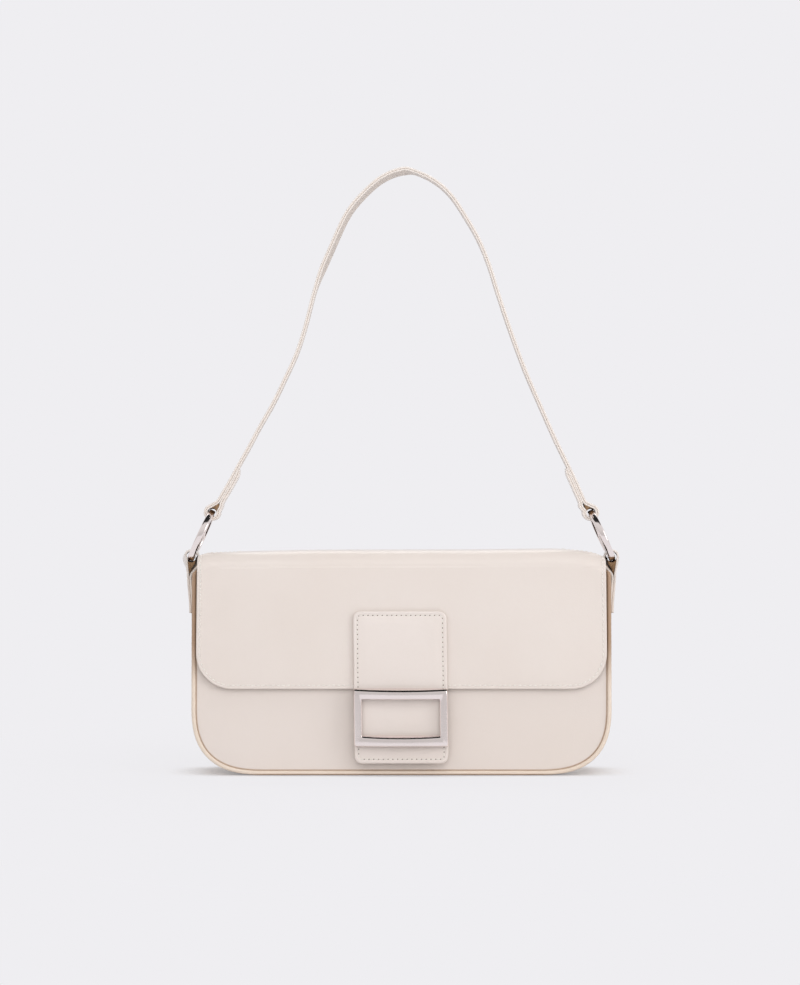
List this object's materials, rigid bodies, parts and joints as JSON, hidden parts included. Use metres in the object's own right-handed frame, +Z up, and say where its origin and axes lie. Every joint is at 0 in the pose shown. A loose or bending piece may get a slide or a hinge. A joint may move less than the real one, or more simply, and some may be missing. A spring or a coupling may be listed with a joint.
{
  "type": "baguette shoulder bag",
  "caption": "Long low shoulder bag in cream leather: front flap with a closure tab and metal frame, piped body, strap held by two side rings.",
  "frame": {"origin": "middle of the rest face under the bag, on the floor plane halfway between the two panels and the two sides", "axes": "+Z up the standing strap, +X to the right seen from the front, the flap and its tab face -Y"},
  "size_m": [0.273, 0.0728, 0.3779],
  "materials": {
    "leather": "smooth, semi gloss, pale cream",
    "leather_edge": "smooth, semi gloss, tan cream piping",
    "strap_leather": "smooth, semi gloss, pale cream",
    "lining": "soft matt lining leather, tan",
    "board": "grey brown stiffening board",
    "metal": "polished silver plate",
    "snap_metal": "plated steel snap"
  },
  "bodies": {
    "bag": {"front_panel": "leather", "back_panel": "leather", "gusset": "leather", "front_piping": "leather_edge", "back_piping": "leather_edge", "base_board": "board", "front_board": "board", "back_board": "board", "bag_lining": "lining", "inner_pocket": "lining", "magnet_socket": "snap_metal", "socket_washer": "snap_metal", "left_side_tab": "strap_leather", "right_side_tab": "strap_leather"},
    "flap_top": {"flap_top": "leather", "flap_top_lining": "lining"},
    "flap_front": {"flap_front": "leather", "flap_front_lining": "lining", "closure_tab": "leather", "tab_backing": "leather_edge", "buckle_frame": "metal", "frame_washers": "snap_metal", "magnet_stud": "snap_metal", "stud_washer": "snap_metal"},
    "strap": {"strap": "strap_leather", "strap_lining": "leather_edge", "left_strap_end": "strap_leather", "right_strap_end": "strap_leather", "left_side_loop": "strap_leather", "right_side_loop": "strap_leather"},
    "left_ring": {"left_ring": "metal"},
    "right_ring": {"right_ring": "metal"}
  },
  "joints": [
    {"name": "flap_lift", "type": "hinge", "parent": "bag", "child": "flap_top", "pos_m": [0, 0.02228, 0.13042], "axis": [-1, 0, 0], "range_deg": [0, 95]},
    {"name": "flap_fold", "type": "hinge", "parent": "flap_top", "child": "flap_front", "pos_m": [0, -0.02648, 0.13042], "axis": [-1, 0, 0], "range_deg": [0, 85]},
    {"name": "strap_fall", "type": "hinge", "parent": "bag", "child": "strap", "pos_m": [0, 0, 0.124], "axis": [-1, 0, 0], "range_deg": [0, 54.15]},
    {"name": "left_ring_spin", "type": "hinge", "parent": "strap", "child": "left_ring", "pos_m": [-0.12539, 0, 0.14806], "axis": [0.91, 0, -0.4147], "continuous": true},
    {"name": "right_ring_spin", "type": "hinge", "parent": "strap", "child": "right_ring", "pos_m": [0.12539, 0, 0.14806], "axis": [0.91, 0, 0.4147], "continuous": true}
  ],
  "couplings": [
    {"joint": "strap_fall", "follows": "flap_lift", "ratio": 0.57}
  ]
}
